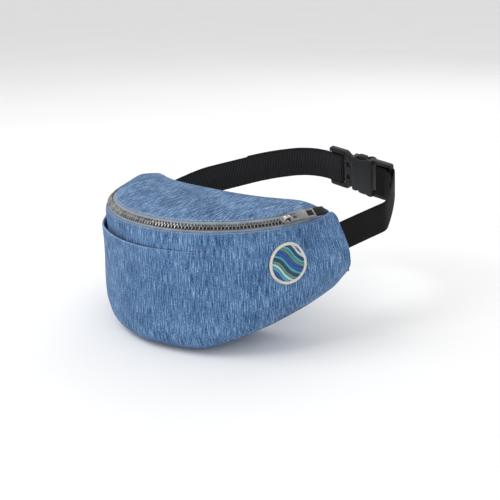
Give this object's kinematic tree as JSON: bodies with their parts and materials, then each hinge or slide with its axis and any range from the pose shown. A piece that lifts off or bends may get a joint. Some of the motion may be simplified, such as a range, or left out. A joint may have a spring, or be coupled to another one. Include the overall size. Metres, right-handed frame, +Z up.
{
  "type": "waist pack",
  "caption": "Crescent denim waist pack with a curved metal zip, a slip pocket, a round patch and a webbing belt closed by a side-release buckle.",
  "frame": {"origin": "on the wearer's waist axis, midway between the two tips of the bag and level with the zip", "axes": "+Y towards the wearer's back and the buckle, +Z up through the waist, +X towards the closed end of the zip"},
  "size_m": [0.2951, 0.3174, 0.1554],
  "materials": {
    "denim": "washed mid-blue denim with slub streaks",
    "lining": "plain woven polyester lining",
    "foam": "open-cell foam sheet",
    "zip_tape": "pale grey-blue woven tape",
    "zip_metal": "dark nickel, polished crests",
    "pull_metal": "polished nickel pull with a dark grip end",
    "webbing": "black ribbed polypropylene webbing",
    "buckle_plastic": "matte charcoal acetal",
    "patch_cloth": "twill patch cloth",
    "patch_thread": "cream merrowed edge",
    "patch_stitches": "satin-stitch colour bands"
  },
  "bodies": {
    "bag": {"front_panel": "denim", "back_panel": "denim", "base_panel": "denim", "top_panel": "denim", "pocket_facing": "denim", "zip_end_tabs": "denim", "pocket_bag": "lining", "main_lining": "lining", "back_padding": "foam", "zip_tape_front": "zip_tape", "zip_tape_rear": "zip_tape", "zip_teeth_front": "zip_metal", "zip_teeth_rear": "zip_metal", "zip_top_stops": "zip_metal", "zip_bottom_stop": "zip_metal", "left_strap": "webbing", "right_strap": "webbing", "buckle_female": "buckle_plastic", "patch_base": "patch_cloth", "patch_border": "patch_thread", "patch_embroidery": "patch_stitches"},
    "slider": {"slider_body": "zip_metal", "slider_bridge": "zip_metal"},
    "pull": {"pull_tab": "pull_metal"},
    "buckle_male": {"buckle_male": "buckle_plastic", "buckle_tongue": "buckle_plastic"},
    "latch_upper": {"latch_arm_upper": "buckle_plastic"},
    "latch_lower": {"latch_arm_lower": "buckle_plastic"}
  },
  "joints": [
    {"name": "zip_travel", "type": "hinge", "parent": "bag", "child": "slider", "pos_m": [0, -0.0247, 0], "axis": [0, 0, 1], "range_deg": [-152, 0]},
    {"name": "pull_swing", "type": "hinge", "parent": "slider", "child": "pull", "pos_m": [0.12228, -0.06918, 0.00442], "axis": [0.7647, -0.2936, -0.5736], "range_deg": [0, 165]},
    {"name": "buckle_release", "type": "slide", "parent": "bag", "child": "buckle_male", "axis": [-0.9921, 0.0643, 0.1081], "range_m": [0, 0.03], "deforming": ["left_strap", "latch_arm_upper", "latch_arm_lower"]},
    {"name": "latch_upper_press", "type": "hinge", "parent": "buckle_male", "child": "latch_upper", "pos_m": [0.06742, 0.1388, 0.01009], "axis": [0.0882, 0.9684, 0.2333], "range_deg": [0, 6], "stiffness_Nm_per_rad": 0.02},
    {"name": "latch_lower_press", "type": "hinge", "parent": "buckle_male", "child": "latch_lower", "pos_m": [0.06518, 0.14482, -0.01407], "axis": [-0.0882, -0.9684, -0.2333], "range_deg": [0, 6], "stiffness_Nm_per_rad": 0.02}
  ]
}
